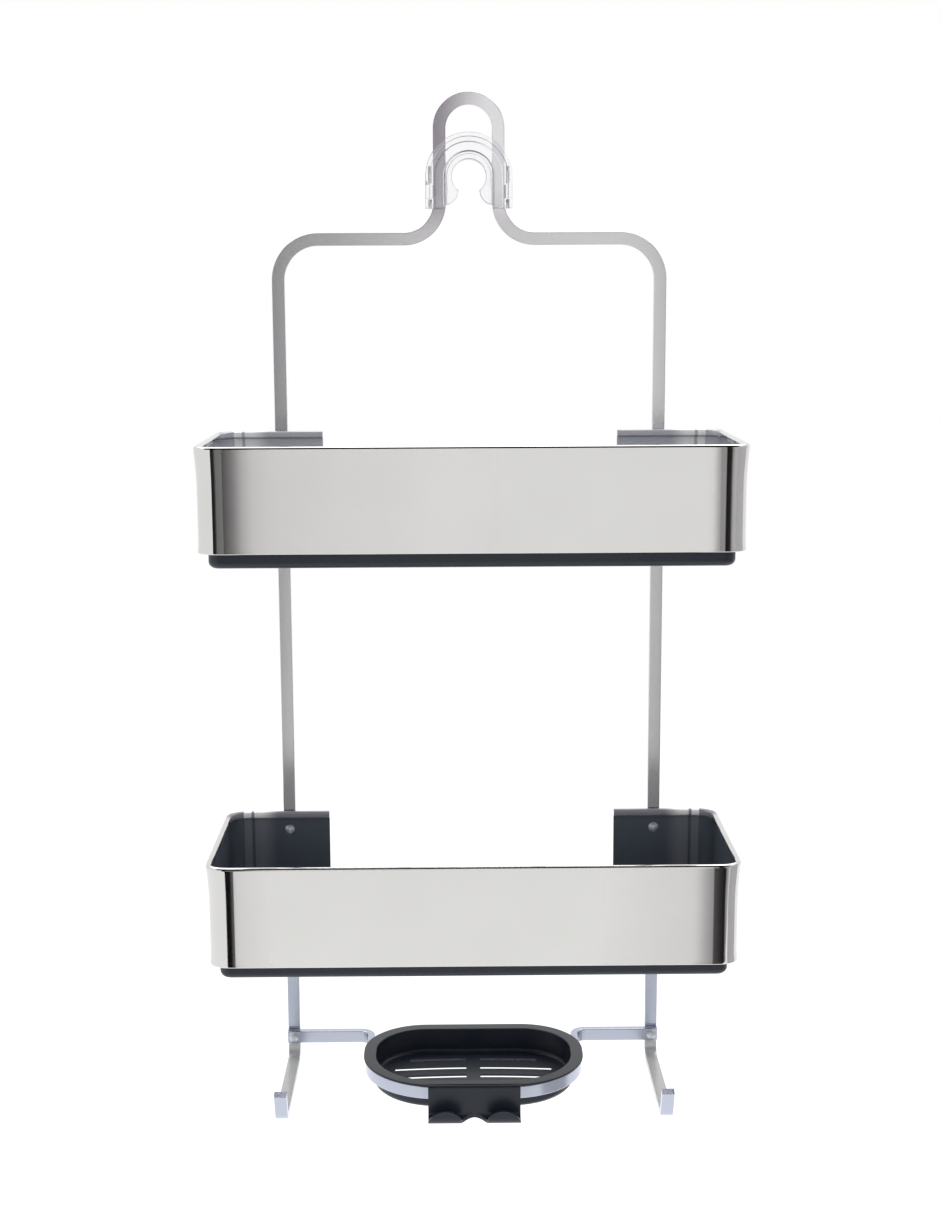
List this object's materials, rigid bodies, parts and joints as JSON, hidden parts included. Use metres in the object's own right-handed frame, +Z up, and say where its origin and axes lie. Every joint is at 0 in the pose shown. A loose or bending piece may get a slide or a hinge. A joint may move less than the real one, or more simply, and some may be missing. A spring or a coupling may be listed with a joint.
{
  "type": "shower caddy",
  "caption": "Hanging shower caddy: a bent flat-bar frame with a clear keyhole saddle for the shower arm, metal baskets with dark plastic trays, a soap dish with razor holder and towel hooks.",
  "frame": {"origin": "centre of the keyhole that grips the shower arm, at the middle plane of the frame bar", "axes": "+X to the right seen from the front, +Y from the baskets towards the wall and along the shower arm, +Z up the frame towards the top loop"},
  "size_m": [0.3216, 0.1315, 0.633],
  "materials": {
    "satin_aluminium": "satin, finely brushed along the bar",
    "polished_aluminium": "polished, finely brushed along the band",
    "charcoal_plastic": "smooth, low sheen",
    "clear_plastic": "clear, glossy",
    "rivet_metal": "smooth"
  },
  "bodies": {
    "frame": {"frame_bar": "satin_aluminium", "upper_basket_band": "polished_aluminium", "lower_basket_band": "polished_aluminium", "soap_bracket": "satin_aluminium", "upper_left_rivet": "rivet_metal", "upper_right_rivet": "rivet_metal", "lower_left_rivet": "rivet_metal", "lower_right_rivet": "rivet_metal", "bracket_left_rivet": "rivet_metal", "bracket_right_rivet": "rivet_metal"},
    "saddle": {"arm_saddle": "clear_plastic"},
    "upper_tray": {"upper_tray": "charcoal_plastic"},
    "lower_tray": {"lower_tray": "charcoal_plastic"},
    "dish": {"soap_dish": "charcoal_plastic"}
  },
  "joints": [
    {"name": "saddle_slide", "type": "slide", "parent": "frame", "child": "saddle", "axis": [0, 0, 1], "range_m": [0, 0.029]},
    {"name": "upper_tray_lift", "type": "slide", "parent": "frame", "child": "upper_tray", "axis": [0, 0, 1], "range_m": [0, 0.04]},
    {"name": "lower_tray_lift", "type": "slide", "parent": "frame", "child": "lower_tray", "axis": [0, 0, 1], "range_m": [0, 0.04]},
    {"name": "soap_dish_lift", "type": "slide", "parent": "frame", "child": "dish", "axis": [0, 0, 1], "range_m": [0, 0.04]}
  ]
}
